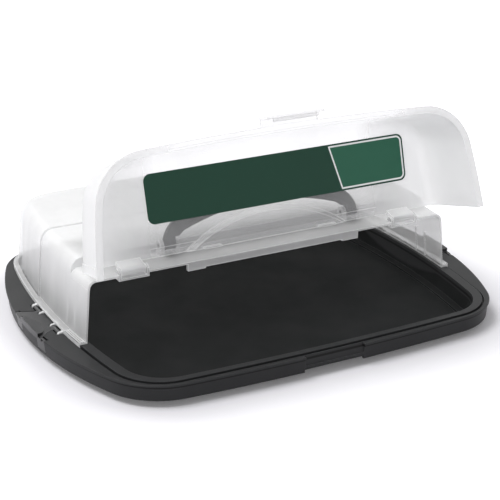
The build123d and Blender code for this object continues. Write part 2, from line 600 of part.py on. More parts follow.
def make_front_flap():
    front = block(-BIG, BIG, -BIG, PARTING_Y, RIM_UNDER, BIG)
    outer = hood_form(0.0, FLAP_TOP, HOOD_END_R, FLAP_FRONT_R, FOOT_Z)
    inner = hood_form(HOOD_WALL, FLAP_TOP - HOOD_WALL, HOOD_END_R - HOOD_WALL,
                      FLAP_FRONT_R - HOOD_WALL, FOOT_Z - 1.0)
    band = hood_form(-FLAP_BAND_RISE, FLAP_TOP + FLAP_BAND_RISE, HOOD_END_R + FLAP_BAND_RISE,
                     FLAP_FRONT_R + FLAP_BAND_RISE, FOOT_Z)
    body = outer & front
    body += band & block(-BIG, BIG, PARTING_Y - FLAP_BAND, PARTING_Y, RIM_UNDER, BIG)
    panel = FLAP_TOP - HOOD_WALL
    pan = slope(dish_face(DISH_HALF - DISH_SLOPE, DISH_DEEP - DISH_SLOPE, panel - DISH_DROP),
                dish_face(DISH_HALF, DISH_DEEP, panel))
    pan += prism(dish_face(DISH_HALF, DISH_DEEP, panel), 1.0)
    body -= inner
    body += pan & front
    dish = slope(dish_face(DISH_HALF - DISH_SLOPE, DISH_DEEP - DISH_SLOPE, FLAP_TOP - DISH_DROP),
                 dish_face(DISH_HALF, DISH_DEEP, FLAP_TOP))
    body -= dish + prism(dish_face(DISH_HALF, DISH_DEEP, FLAP_TOP), 5.0)
    body += ring(-FLANGE_OUT, HOOD_WALL / 2 + 0.5, RIM_UNDER, FLANGE_THICK) & front
    # hinge knuckles with the arms that join them to the panel
    for s in (-1, 1):
        x0 = s * KNUCKLE_X - KNUCKLE_HALF
        x1 = s * KNUCKLE_X + KNUCKLE_HALF
        arm = yz_prism([(HINGE_Y - KNUCKLE_R, HINGE_Z), (PARTING_Y - 3.0, panel),
                        (PARTING_Y - 3.0, FLAP_TOP - 0.5), (PARTING_Y + 1.0, FLAP_TOP - 0.5),
                        (HINGE_Y + 1.0, HINGE_Z + KNUCKLE_R - 0.2)], x0, x1)
        body += arm
        body += rod_x(x0, x1, HINGE_Y, HINGE_Z, KNUCKLE_R)
        body -= rod_x(x0 - 1.0, x1 + 1.0, HINGE_Y, HINGE_Z, HINGE_PIN_R + HINGE_PIN_GAP)
    # stop tabs that come down on the valley's front edge
    for s in (-1, 1):
        x0 = s * STOP_TAB_X - STOP_TAB_WIDE / 2
        body += block(x0, x0 + STOP_TAB_WIDE, PARTING_Y - 2.0, PARTING_Y,
                      panel - STOP_TAB_LONG, panel + 0.5)
    # front tab with its lip and snap ridge
    tip = TRAY_HALF_DEPTH + TAB_GAP + TAB_THICK
    body += block(-TAB_HALF, TAB_HALF, -tip, -HOOD_HALF_DEPTH, RIM_UNDER, RIM_UNDER + TAB_THICK)
    body += block(-TAB_HALF, TAB_HALF, -tip, -tip + TAB_THICK, BARB_LOW, RIM_UNDER + TAB_THICK)
    barb = TRAY_HALF_DEPTH - CLIP_RECESS + CLIP_RIB + CLIP_RIB_GAP
    body += block(-TAB_HALF * 0.8, TAB_HALF * 0.8, -tip, -barb, BARB_LOW, BARB_LOW + TAB_BARB)
    return opened(body)


def make_label():
    """Thin film under the flap's panel, between the dish and the front wall."""
    x0 = -HOOD_HALF_LENGTH + LABEL_LEFT
    x1 = HOOD_HALF_LENGTH - LABEL_RIGHT
    y0 = -HOOD_HALF_DEPTH + LABEL_FRONT
    y1 = PARTING_Y - DISH_DEEP - LABEL_DISH_GAP
    plate = extrude(RectangleRounded(x1 - x0, y1 - y0, LABEL_R), amount=LABEL_THICK)
    z = FLAP_TOP - HOOD_WALL - LABEL_THICK
    return opened(Pos((x0 + x1) / 2, (y0 + y1) / 2, z) * plate)


def hinge_pin(s):
    half = KNUCKLE_HALF + KNUCKLE_SIDE_GAP + SOCKET_WALL
    return rod_x(s * KNUCKLE_X - half, s * KNUCKLE_X + half, HINGE_Y, HINGE_Z, HINGE_PIN_R)


# ---- handle, built upright -----------------------------------------------------------------------
def arch(half, rise, shoulder):
    """Face under a three-centred arch: a shoulder arc at each end and a flat arc between them."""
    top_r = ((half - shoulder) ** 2 + rise ** 2 - shoulder ** 2) / (2 * (rise - shoulder))
    turn = atan2(half - shoulder, top_r - rise)
    mid = (half - shoulder + shoulder * sin((turn + pi / 2) / 2), shoulder * cos((turn + pi / 2) / 2))
    end = (half - shoulder + shoulder * sin(turn), shoulder * cos(turn))
    edges = [
        ThreePointArc((half, 0), mid, end),
        ThreePointArc(end, (0, rise), (-end[0], end[1])),
        ThreePointArc((-end[0], end[1]), (-mid[0], mid[1]), (-half, 0)),
        Line((-half, 0), (half, 0)),
    ]
    return Face(Wire(edges))


def make_handle():
    """Flat bail between two three-centred arches, with a hub and a stub at each foot."""
    outer = arch(HANDLE_HALF, HANDLE_RISE + HANDLE_FOOT, HANDLE_SHOULDER)
    inner = arch(HANDLE_HALF - HANDLE_LEG, HANDLE_RISE + HANDLE_FOOT - HANDLE_GRIP,
                 HANDLE_SHOULDER - HANDLE_LEG)
    band = Plane.XZ * (outer - inner)
    band = extrude(band, amount=HANDLE_THICK, dir=(0, -1, 0))
    band = Pos(0, -HANDLE_OFFSET, -HANDLE_FOOT) * band
    band = chamfer(band.edges().filter_by(lambda e: e.length > 25.0), HANDLE_BEVEL)
    body = Pos(0, HANDLE_Y, HANDLE_Z) * band
    for s in (-1, 1):
        mid = s * (HANDLE_HALF - HANDLE_LEG / 2)
        body += rod_x(mid - HUB_HALF, mid + HUB_HALF, HANDLE_Y, HANDLE_Z, HUB_R)
        stub = HUB_HALF + LUG_GAP + LUG_THICK
        body -= block(mid + HUB_HALF, mid + 20.0, HANDLE_Y - 12.0, HANDLE_Y + 12.0,
                      HANDLE_Z - 12.0, HANDLE_Z + LUG_R + 2.0)
        body -= block(mid - 20.0, mid - HUB_HALF, HANDLE_Y - 12.0, HANDLE_Y + 12.0,
                      HANDLE_Z - 12.0, HANDLE_Z + LUG_R + 2.0)
        body += rod_x(mid - stub, mid + stub, HANDLE_Y, HANDLE_Z, STUB_R)
    return body.rotate(Axis((0, HANDLE_Y, HANDLE_Z), (1, 0, 0)), -HANDLE_LEAN_DEG)


# ---- latch, right-hand side ----------------------------------------------------------------------
def make_latch():
    """Flat plate with a thick hinge bar, a wedge-shaped thumb pad and two tongues."""
    outline = prism(tray_face(0.0, 0.0), 60.0)
    body = latch_outline(0.0, PLATE_BOTTOM, LATCH_PLATE) & outline
    body += block(LATCH_AXIS_X - LATCH_INBOARD, SLOT_X + 1.0, -EAR_Y + EAR_GAP, EAR_Y - EAR_GAP,
                  BAR_BOTTOM, PLATE_TOP)
    for y0, y1 in ((BARREL_Y0, BARREL_Y1), (-BARREL_Y1, -BARREL_Y0)):
        body += rod_y(LATCH_AXIS_X, y0, y1, LATCH_AXIS_Z, LATCH_BARREL_R)
    for y0, y1 in ear_ranges():
        body -= block(LATCH_AXIS_X - 10.0, SLOT_X, y0 - EAR_GAP, y1 + EAR_GAP, 0.0, 60.0)
    # thumb pad: half an oval in plan, rising towards the tray's edge
    pad = Pos(TRAY_HALF_LENGTH, PAD_Y, PLATE_BOTTOM) * extrude(Ellipse(PAD_DEEP, PAD_HALF), amount=20.0)
    pad &= xz_prism([(TRAY_HALF_LENGTH - PAD_DEEP, PLATE_BOTTOM), (TRAY_HALF_LENGTH, PLATE_BOTTOM),
                     (TRAY_HALF_LENGTH, PLATE_TOP + PAD_RISE), (TRAY_HALF_LENGTH - PAD_DEEP, PLATE_TOP)],
                    PAD_Y - PAD_HALF, PAD_Y + PAD_HALF)
    body += pad & outline
    # tongues down the skirt, each with a snap ridge inside its lower edge
    shell = slope(tray_face(skirt_inset(TONGUE_BOTTOM), TONGUE_BOTTOM),
                  tray_face(RIM_EDGE_OUT, EDGE_BOTTOM))
    shell += prism(tray_face(RIM_EDGE_OUT, EDGE_BOTTOM), PLATE_TOP - EDGE_BOTTOM)
    inside = slope(tray_face(skirt_inset(TONGUE_BOTTOM) + TONGUE_THICK, TONGUE_BOTTOM),
                   tray_face(RIM_EDGE_OUT + TONGUE_THICK, PLATE_TOP))
    ridge = prism(tray_face(TONGUE_IN, TONGUE_BOTTOM), BARB_TALL)
    bars = tongue_slots(0.0, TONGUE_BOTTOM, PLATE_TOP)
    body += (shell - inside) & bars
    low_shell = shell & prism(tray_face(0.0, TONGUE_BOTTOM), BARB_TALL)
    body += (low_shell - ridge) & bars
    return body - rod_y(LATCH_AXIS_X, -BIG, BIG, LATCH_AXIS_Z, LATCH_PIN_R + LATCH_PIN_GAP)


def save(shape, name):
    solids = shape.solids()
    out = solids[0] if len(solids) == 1 else Compound(children=list(solids))
    export_step(out, f"parts/{name}.step")
    box = shape.bounding_box()
    print(name, len(solids), round(shape.volume / 1000.0, 1), "cm3",
          [round(v, 1) for v in (*box.min, *box.max)])


save(make_tray(), "tray")
save(make_rear_hood(), "rear_hood")
save(make_front_flap(), "front_flap")
save(make_label(), "label")
save(hinge_pin(-1), "flap_pin_left")
save(hinge_pin(1), "flap_pin_right")
save(make_handle(), "carry_handle")
latch_right, latch_left = both_sides(make_latch())
save(latch_right, "latch_right")
save(latch_left, "latch_left")
pin_right = rod_y(LATCH_AXIS_X, -EAR_OUT, EAR_OUT, LATCH_AXIS_Z, LATCH_PIN_R)
pin_left = mirror(pin_right, about=Plane.YZ)
save(pin_right, "latch_pin_right")
save(pin_left, "latch_pin_left")
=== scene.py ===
"""Cake carrier with a hinged lid: finishes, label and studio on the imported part.

Metres, +Z up, origin at the centre of the tray's underside, front towards -Y.
"""
import json
import math

import bpy
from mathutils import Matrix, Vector


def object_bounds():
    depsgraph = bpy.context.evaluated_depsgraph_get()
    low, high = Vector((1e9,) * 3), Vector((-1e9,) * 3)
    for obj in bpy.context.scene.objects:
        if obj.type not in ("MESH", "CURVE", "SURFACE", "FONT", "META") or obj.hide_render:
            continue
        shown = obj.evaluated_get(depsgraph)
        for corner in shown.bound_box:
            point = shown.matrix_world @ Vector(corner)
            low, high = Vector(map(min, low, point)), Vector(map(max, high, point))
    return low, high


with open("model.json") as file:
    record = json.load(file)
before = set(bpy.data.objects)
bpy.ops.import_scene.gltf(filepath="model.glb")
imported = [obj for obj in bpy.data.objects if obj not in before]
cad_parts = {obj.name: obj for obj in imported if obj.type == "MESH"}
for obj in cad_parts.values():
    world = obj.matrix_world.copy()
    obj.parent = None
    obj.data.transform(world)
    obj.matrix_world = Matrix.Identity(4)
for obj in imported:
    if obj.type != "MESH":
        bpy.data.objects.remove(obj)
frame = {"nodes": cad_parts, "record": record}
CAD_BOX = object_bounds()
NODES = frame["nodes"]
JOINTS = {joint["name"]: joint for joint in frame["record"]["behaviour"]["joints"]}
HINGE = Vector(JOINTS["flap_hinge"]["pos_m"])
FLAP_OPEN = math.radians(JOINTS["flap_hinge"]["range_deg"][1])

# Places on the part, in metres.
PAINTED_SHADE_LINE_HEIGHT = 0.0203              # painted shade: a black line under the rim's edge band, where its step casts shade
PAINTED_SHADE_LINE_HALF = (0.0007, 0.0011)      # half its height: full, and where it has faded
BASIN_HALF = (0.190, 0.168)         # half the basin's length and depth
BASIN_CORNER = 0.046
BASIN_TOP = (0.0175, 0.0185)        # the basin's finish is full below, and gone above
MASK_SOFTNESS = 0.0005              # half the width over which the basin's outline fades
FLAP_ENDS = (0.108, 0.165)          # from the flap's thin middle to its thicker end walls
HOOD_FOOT = (0.024, 0.090)          # heights between which the hood's veil rises
HOOD_FLANGE = (0.0260, 0.0264)      # top of the flange at the hood's foot
HOOD_BACK = (-0.030, 0.030)         # from the front strip of the roof to the full veil
HOOD_ENDS = (0.150, 0.195)          # from the roof's middle to the end walls
STREAKS = (28.0, 28.0, 7.0)         # scale of the hood's streaks, long up the walls

# The label's lighter field, on the panel: x, and height above the hinge.
FIELD_CENTRE = (0.1155, 0.0595)
FIELD_HALF = (0.0430, 0.0210)
FIELD_CORNER = 0.005
FIELD_START = 0.0965                # x at which the slanted side meets the hinge's height
FIELD_SLANT = 0.25                  # how far that side leans to the left per metre of height
FIELD_SOFTNESS = 0.0003
LINE_HALF = (0.0006, 0.0010)        # half the outline's width: full, and where it has faded
FILM_LIFT = 0.00004                 # keeps the film's back out of the flap's face
MERGE_DISTANCE = 0.000004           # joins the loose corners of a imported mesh

# Finish.
PLASTIC_IOR = 1.49
# black of painted shade: under the rim's edge band and along the latches' edges
PAINTED_SHADE_BLACK = (0.0015, 0.0015, 0.0015, 1.0)
NOISE_SPAN = (0.3, 0.7)             # values that a noise texture mostly keeps between
EDGE_REACH = 0.0012                 # radius over which the edge mask averages normals
EDGE_START = 0.98                   # cosine of the lean at which that mask starts
PATCH_SHARE = 0.08                  # most of the edge tone in a scuffed patch away from the edges
BASIN_DULLER = 0.18                 # added to the roughness in the basin
RIM_COAT = 0.12
RIM_COAT_ROUGHNESS = 0.34
EDGE_VEIL = 0.75                    # veil at the edges of the frosted plastic
CLOUD_VEIL = 0.03                   # most that the cloudiness adds to or takes from the veil
SHADOW_SHARE = 0.2                  # share of the veil that a shadow ray meets
FOOT_CLEARER = 0.36                 # taken from the hood's veil at the foot of its walls
FLAP_END_VEIL = 0.58

# Stage.
FLOOR_REACH = 8.0
FLOOR_TINT = (0.885, 0.875, 0.915, 1.0)
FLOOR_CORNER = 0.12                 # corner of the outline that the floor's glow starts from
GLOW_SPAN = (0.005, 0.10)           # distances from that outline over which the glow rises
GLOW_STRENGTH = (0.09, 0.60)
WORLD_LIGHT = 0.38                  # the world's light on the object
WORLD_SEEN = 0.62                   # added where the world is seen, so that it shows as white
WHITE = (1.0, 1.0, 1.0, 1.0)
LAMPS = (                           # name, size, watts, place, aim
    ("key", (1.2, 1.2), 30.0, (-1.0, -0.15, 2.3), (0.0, 0.0, 0.05)),
    ("fill", (1.2, 1.2), 7.5, (-1.5, -1.9, 0.8), (0.1, 0.0, 0.05)),
    ("back", (2.0, 0.8), 12.0, (-0.6, 1.9, 1.6), (0.0, 0.0, 0.1)),
)
SENSOR_WIDTH = 36.0

bl_info = {
    "name": "Cake carrier",
    "version": (1, 0, 0),
    "blender": (4, 5, 0),
    "location": "View3D > Sidebar > Cake carrier",
    "description": "Finishes, label and studio for a cake carrier with a hinged lid",
    "category": "Object",
}


# ---- what a user would change ----------------------------------------------------------------
def colour(name, description, default):
    """A colour that the panel shows."""
    return bpy.props.FloatVectorProperty(name=name, description=description, default=default,
                                         size=4, subtype="COLOR", min=0.0, max=1.0)


class CarrierFinish(bpy.types.PropertyGroup):
    """Colours of the pieces, and how much the frosted ones hide"""
    hood_tint: colour("Hood tint", "Colour of the frosted plastic", (0.960, 0.962, 0.965, 1.0))
    # painted shade: the flap's thin panel is the hood's white plastic darkened
    flap_shaded_tint: colour("Flap tint", "Colour of the flap's thin panel", (0.67, 0.672, 0.677, 1.0))
    tray_tint: colour("Tray tint", "Colour of the tray's rim and skirt and of the latches",
                      (0.023, 0.0235, 0.0245, 1.0))
    # partly painted shade: the basin is tinted darker than the rim; its grain is also duller
    basin_tint_and_shade: colour("Basin tint", "Colour of the tray's grained basin",
                       (0.0085, 0.0092, 0.0092, 1.0))
    # painted highlight: the tray's and handle's edges take this lighter tone as the light along
    # them; scuffed patches take it too
    edge_highlight_and_wear_tint: colour("Rubbed tint", "Colour of the tray's rubbed edges",
                        (0.085, 0.086, 0.090, 1.0))
    handle_tint: colour("Handle tint", "Colour of the bail handle", (0.022, 0.022, 0.024, 1.0))
    label_deep: colour("Label, deep", "Darker green of the label", (0.009, 0.050, 0.030, 1.0))
    label_fresh: colour("Label, fresh", "Lighter green at the label's right end",
                        (0.026, 0.125, 0.076, 1.0))
    label_line: colour("Label, line", "Outline on the lighter part", (0.97, 0.98, 0.97, 1.0))
    pin_tint: colour("Pin tint", "Colour of the hinge pins", (0.55, 0.55, 0.56, 1.0))
    hood_veil: bpy.props.FloatProperty(
        name="Hood veil", description="How much each face of the rear hood hides",
        default=0.68, min=0.0, max=1.0, subtype="FACTOR")
    flap_veil: bpy.props.FloatProperty(
        name="Flap veil", description="How much each face of the flap hides",
        default=0.22, min=0.0, max=1.0, subtype="FACTOR")


class CarrierSizes(bpy.types.PropertyGroup):
    """Softness of the moulded forms"""
    edge: bpy.props.FloatProperty(
        name="Edge radius", description="Softness of the moulded edges", default=0.0005,
        min=0.0, unit="LENGTH")
    smooth_angle: bpy.props.FloatProperty(
        name="Smooth angle", description="Faces that meet at less than this shade as one curve",
        default=math.radians(32.0), subtype="ANGLE")


class CarrierStudio(bpy.types.PropertyGroup):
    """Place and lens of the camera"""
    target: bpy.props.FloatVectorProperty(
        name="Camera target", description="Point that the camera looks at",
        default=(0.0242, 0.0282, 0.0400), size=3, subtype="TRANSLATION", unit="LENGTH")
    azimuth: bpy.props.FloatProperty(
        name="Camera azimuth", description="Turn of the camera about the carrier, from the front",
        default=math.radians(-27.6), subtype="ANGLE")
    elevation: bpy.props.FloatProperty(
        name="Camera elevation", description="Height of the camera as an angle",
        default=math.radians(21.9), subtype="ANGLE")
    distance: bpy.props.FloatProperty(
        name="Camera distance", description="From the target to the camera", default=1.4196,
        min=0.1, unit="LENGTH")
    lens: bpy.props.FloatProperty(
        name="Lens", description="Focal length on a 36 mm sensor, in millimetres", default=99.1,
        min=1.0)


# ---- node helpers ----------------------------------------------------------------------------
def clear_material(name):
    """A new node material and its Principled shader."""
    mat = bpy.data.materials.new(name)
    mat.use_nodes = True
    tree = mat.node_tree
    shader = next(n for n in tree.nodes if n.type == "BSDF_PRINCIPLED")
    return mat, tree, shader


def put(tree, kind, **values):
    """A node with some of its properties and inputs set."""
    node = tree.nodes.new(kind)
    for key, value in values.items():
        if key in node.inputs:
            node.inputs[key].default_value = value
        else:
            setattr(node, key, value)
    return node


def object_coordinates(tree, scale=(1.0, 1.0, 1.0)):
    """The object's own coordinates, in metres unless they are scaled."""
    coords = put(tree, "ShaderNodeTexCoord")
    mapping = put(tree, "ShaderNodeMapping")
    mapping.inputs["Scale"].default_value = scale
    tree.links.new(coords.outputs["Object"], mapping.inputs["Vector"])
    return mapping.outputs["Vector"]


def grain_group():
    """Fine moulded texture: a value that varies over the surface and a height for a bump."""
    group = bpy.data.node_groups.new("moulded_grain", "ShaderNodeTree")
    face = group.interface
    face.new_socket("Vector", in_out="INPUT", socket_type="NodeSocketVector")
    scale = face.new_socket("Scale", in_out="INPUT", socket_type="NodeSocketFloat")
    scale.default_value = 900.0
    low = face.new_socket("Low", in_out="INPUT", socket_type="NodeSocketFloat")
    low.default_value = 0.4
    high = face.new_socket("High", in_out="INPUT", socket_type="NodeSocketFloat")
    high.default_value = 0.5
    face.new_socket("Value", in_out="OUTPUT", socket_type="NodeSocketFloat")
    face.new_socket("Height", in_out="OUTPUT", socket_type="NodeSocketFloat")
    source = group.nodes.new("NodeGroupInput")
    sink = group.nodes.new("NodeGroupOutput")
    fine = put(group, "ShaderNodeTexNoise", Detail=3.0, Roughness=0.6)
    broad = put(group, "ShaderNodeTexNoise", Scale=14.0, Detail=2.0)
    spread = put(group, "ShaderNodeMapRange")
    spread.inputs["From Min"].default_value, spread.inputs["From Max"].default_value = NOISE_SPAN
    link = group.links.new
    link(source.outputs["Vector"], fine.inputs["Vector"])
    link(source.outputs["Scale"], fine.inputs["Scale"])
    link(source.outputs["Vector"], broad.inputs["Vector"])
    link(broad.outputs["Fac"], spread.inputs["Value"])
    link(source.outputs["Low"], spread.inputs["To Min"])
    link(source.outputs["High"], spread.inputs["To Max"])
    link(spread.outputs["Result"], sink.inputs["Value"])
    link(fine.outputs["Fac"], sink.inputs["Height"])
    return group


def grain(tree, scale, low, high):
    """The shared grain group placed in a material."""
    node = put(tree, "ShaderNodeGroup")
    node.node_tree = bpy.data.node_groups.get("moulded_grain") or grain_group()
    node.inputs["Scale"].default_value = scale
    node.inputs["Low"].default_value = low
    node.inputs["High"].default_value = high
    tree.links.new(object_coordinates(tree), node.inputs["Vector"])
    return node


def bump(tree, height, distance, strength, edge):
    """Bump of a height over softened edges."""
    soft = put(tree, "ShaderNodeBevel", samples=4, Radius=edge)
    node = put(tree, "ShaderNodeBump", Distance=distance, Strength=strength)
    tree.links.new(height, node.inputs["Height"])
    tree.links.new(soft.outputs["Normal"], node.inputs["Normal"])
    return node.outputs["Normal"]


def edge_group():
    """Mask of a piece's edges: how far the normal, averaged over a radius, leans from its own."""
    group = bpy.data.node_groups.new("edge_mask", "ShaderNodeTree")
    face = group.interface
    gain = face.new_socket("Gain", in_out="INPUT", socket_type="NodeSocketFloat")
    gain.default_value = 4.0
    face.new_socket("Mask", in_out="OUTPUT", socket_type="NodeSocketFloat")
    source = group.nodes.new("NodeGroupInput")
    sink = group.nodes.new("NodeGroupOutput")
    wide = put(group, "ShaderNodeBevel", samples=6, Radius=EDGE_REACH)
    own = put(group, "ShaderNodeNewGeometry")
    dot = put(group, "ShaderNodeVectorMath", operation="DOT_PRODUCT")
    lean = put(group, "ShaderNodeMath", operation="SUBTRACT", use_clamp=True)
    lean.inputs[0].default_value = EDGE_START
    power = put(group, "ShaderNodeMath", operation="MULTIPLY", use_clamp=True)
    link = group.links.new
    link(wide.outputs["Normal"], dot.inputs[0])
    link(own.outputs["Normal"], dot.inputs[1])
    link(dot.outputs["Value"], lean.inputs[1])
    link(lean.outputs[0], power.inputs[0])
    link(source.outputs["Gain"], power.inputs[1])
    link(power.outputs[0], sink.inputs["Mask"])
    return group


def edge_mask(tree, gain):
    """The shared edge mask placed in a material."""
    node = put(tree, "ShaderNodeGroup")
    node.node_tree = bpy.data.node_groups.get("edge_mask") or edge_group()
    node.inputs["Gain"].default_value = gain
    return node.outputs["Mask"]


def mixed(tree, share, first, second):
    """Colour between two constants or sockets, by a share."""
    node = put(tree, "ShaderNodeMix", data_type="RGBA")
    tree.links.new(share, node.inputs["Factor"])
    for socket, value in ((node.inputs[6], first), (node.inputs[7], second)):
        if isinstance(value, bpy.types.NodeSocket):
            tree.links.new(value, socket)
        else:
            socket.default_value = value
    return node.outputs[2]


def ramp(tree, value, low, high, start=0.0, end=1.0):
    """Value carried from the range low..high to start..end, held at both ends."""
    node = put(tree, "ShaderNodeMapRange")
    for key, number in (("From Min", low), ("From Max", high), ("To Min", start),
                        ("To Max", end)):
        node.inputs[key].default_value = number
    tree.links.new(value, node.inputs["Value"])
    return node.outputs["Result"]


def math_node(tree, operation, first, second=None, clamp=False):
    """One sum on constants or sockets."""
    node = put(tree, "ShaderNodeMath", operation=operation, use_clamp=clamp)
    for socket, value in ((node.inputs[0], first), (node.inputs[1], second)):
        if isinstance(value, bpy.types.NodeSocket):
            tree.links.new(value, socket)
        elif value is not None:
            socket.default_value = value
    return node.outputs[0]


def moulded_plastic(name, tint, painted_edge_tone_and_wear, low, high, edge, scale=900.0, strength=0.18,
                    inner_tint_and_shade=None, gain=2.5, gloss=0.12):
    """Opaque moulded plastic: fine grain, its edges in another tone as a painted highlight, or as
    painted shade where that tone is dark, and scuffed patches of that tone.

    With a tint for the part that basin_mask marks, that part is also duller, and its darker tint
    is partly painted shade. With it, a black line of painted shade also runs under the rim's edge
    band, where its step casts shade.
    """
    mat, tree, shader = clear_material(name)
    node = grain(tree, scale, low, high)
    shader.inputs["IOR"].default_value = PLASTIC_IOR
    shader.inputs["Specular IOR Level"].default_value = gloss
    patches = put(tree, "ShaderNodeTexNoise", Scale=22.0, Detail=4.0, Roughness=0.6)
    tree.links.new(object_coordinates(tree), patches.inputs["Vector"])
    # the edge mask paints the edge tone on as a highlight, or as shade where that tone is black;
    # the patches are scuffs
    painted_edges_and_wear = math_node(tree, "ADD", edge_mask(tree, gain),
                     ramp(tree, patches.outputs["Fac"], 0.35, 0.75, 0.0, PATCH_SHARE), clamp=True)
    dull = node.outputs["Value"]
    if inner_tint_and_shade is not None:
        basin = basin_mask(tree)
        # partly painted shade: the basin's darker tint
        tint = mixed(tree, basin, tint, inner_tint_and_shade)
        # painted shade: a black line under the rim's edge band, where its step casts shade
        level = math_node(tree, "SUBTRACT", axis_value(tree, "Z"), PAINTED_SHADE_LINE_HEIGHT)
        painted_crease_shade = ramp(tree, math_node(tree, "ABSOLUTE", level), *PAINTED_SHADE_LINE_HALF, 1.0, 0.0)
        tint = mixed(tree, painted_crease_shade, tint, PAINTED_SHADE_BLACK)
        painted_edge_tone_and_wear = mixed(tree, painted_crease_shade, painted_edge_tone_and_wear, PAINTED_SHADE_BLACK)
        dull = math_node(tree, "ADD", dull, math_node(tree, "MULTIPLY", basin, BASIN_DULLER))
        shader.inputs["Coat Roughness"].default_value = RIM_COAT_ROUGHNESS
        tree.links.new(ramp(tree, basin, 0.0, 1.0, RIM_COAT, 0.0),
                       shader.inputs["Coat Weight"])
    tree.links.new(mixed(tree, painted_edges_and_wear, tint, painted_edge_tone_and_wear), shader.inputs["Base Color"])
    tree.links.new(dull, shader.inputs["Roughness"])
    tree.links.new(bump(tree, node.outputs["Height"], 0.0002, strength, edge),
                   shader.inputs["Normal"])
    return mat


def frosted_plastic(name, tint, thick_tint, edge, panel_veil, thick_veil, thick_mask,
                    gain=7.0):
    """Milky see-through plastic: each face hides part of what is behind it.

    It hides more where it is seen through more plastic: at its edges, and where thick_mask, a
    function of the tree that puts out a value, says so. There it takes thick_tint; elsewhere it
    takes tint, which on the flap is a darker copy of the hood's plastic, as painted shade.
    """
    mat, tree, shader = clear_material(name)
    node = grain(tree, 600.0, 0.30, 0.42)
    shader.inputs["IOR"].default_value = PLASTIC_IOR
    cloud = put(tree, "ShaderNodeTexNoise", Scale=9.0, Detail=3.0, Roughness=0.55)
    tree.links.new(object_coordinates(tree), cloud.inputs["Vector"])
    zone = thick_mask(tree)
    edges = edge_mask(tree, gain)
    veil = math_node(tree, "ADD", ramp(tree, zone, 0.0, 1.0, panel_veil, thick_veil),
                     ramp(tree, cloud.outputs["Fac"], *NOISE_SPAN, -CLOUD_VEIL, CLOUD_VEIL))
    solid = put(tree, "ShaderNodeMapRange")
    tree.links.new(edges, solid.inputs["Value"])
    tree.links.new(veil, solid.inputs["To Min"])
    solid.inputs["To Max"].default_value = EDGE_VEIL
    path = put(tree, "ShaderNodeLightPath")
    passed = ramp(tree, path.outputs["Is Shadow Ray"], 0.0, 1.0, 1.0, SHADOW_SHARE)
    tree.links.new(math_node(tree, "MULTIPLY", solid.outputs["Result"], passed),
                   shader.inputs["Alpha"])
    # painted shade where tint is darker than thick_tint, as on the flap's thin panel
    share = math_node(tree, "MAXIMUM", edges, zone)
    tree.links.new(mixed(tree, share, tint, thick_tint), shader.inputs["Base Color"])
    tree.links.new(node.outputs["Value"], shader.inputs["Roughness"])
    tree.links.new(bump(tree, node.outputs["Height"], 0.0001, 0.1, edge),
                   shader.inputs["Normal"])
    return mat


def axis_value(tree, axis):
    """One of the object coordinates, in metres."""
    split = put(tree, "ShaderNodeSeparateXYZ")
    tree.links.new(object_coordinates(tree), split.inputs["Vector"])
    return split.outputs[axis]


def flap_ends(tree):
    """From 0 on the middle of the flap to 1 at its two end walls, where it is thicker."""
    return ramp(tree, math_node(tree, "ABSOLUTE", axis_value(tree, "X")), *FLAP_ENDS)


def rounded_box(tree, place, centre, half, corner):
    """Signed distance from a box with rounded corners: length(max(|p - c| - h + r, 0)) - r."""
    off = put(tree, "ShaderNodeVectorMath", operation="SUBTRACT")
    tree.links.new(place, off.inputs[0])
    off.inputs[1].default_value = (*centre, 0.0)
    size = put(tree, "ShaderNodeVectorMath", operation="ABSOLUTE")
    tree.links.new(off.outputs[0], size.inputs[0])
    over = put(tree, "ShaderNodeVectorMath", operation="SUBTRACT")
    tree.links.new(size.outputs[0], over.inputs[0])
    over.inputs[1].default_value = (half[0] - corner, half[1] - corner, 1.0)
    outside = put(tree, "ShaderNodeVectorMath", operation="MAXIMUM")
    tree.links.new(over.outputs[0], outside.inputs[0])
    length = put(tree, "ShaderNodeVectorMath", operation="LENGTH")
    tree.links.new(outside.outputs[0], length.inputs[0])
    return math_node(tree, "SUBTRACT", length.outputs["Value"], corner)


def basin_mask(tree):
    """1 on the tray's basin: under its ledge and in from its outline."""
    outline = rounded_box(tree, object_coordinates(tree), (0.0, 0.0), BASIN_HALF, BASIN_CORNER)
    within = ramp(tree, outline, MASK_SOFTNESS, -MASK_SOFTNESS)
    below = ramp(tree, axis_value(tree, "Z"), *reversed(BASIN_TOP))
    return math_node(tree, "MULTIPLY", within, below)


def hood_zone(tree):
    """Share of the full veil on the rear hood.

    It rises up the walls, and from the front strip of the roof to the back and the end walls.
    The flange at the foot is solid plastic and hides as much as the back.
    """
    foot = ramp(tree, axis_value(tree, "Z"), *HOOD_FOOT)
    back = ramp(tree, axis_value(tree, "Y"), *HOOD_BACK)
    ends = ramp(tree, math_node(tree, "ABSOLUTE", axis_value(tree, "X")), *HOOD_ENDS)
    streaks = put(tree, "ShaderNodeTexNoise", Scale=1.0, Detail=3.0, Roughness=0.55)
    tree.links.new(object_coordinates(tree, STREAKS), streaks.inputs["Vector"])
    mottle = ramp(tree, streaks.outputs["Fac"], 0.35, 0.65, -0.10, 0.05)
    share = math_node(tree, "MULTIPLY", foot, math_node(tree, "MAXIMUM", back, ends))
    flange = ramp(tree, axis_value(tree, "Z"), *reversed(HOOD_FLANGE))
    share = math_node(tree, "MAXIMUM", share, flange)
    return math_node(tree, "ADD", share, mottle, clamp=True)


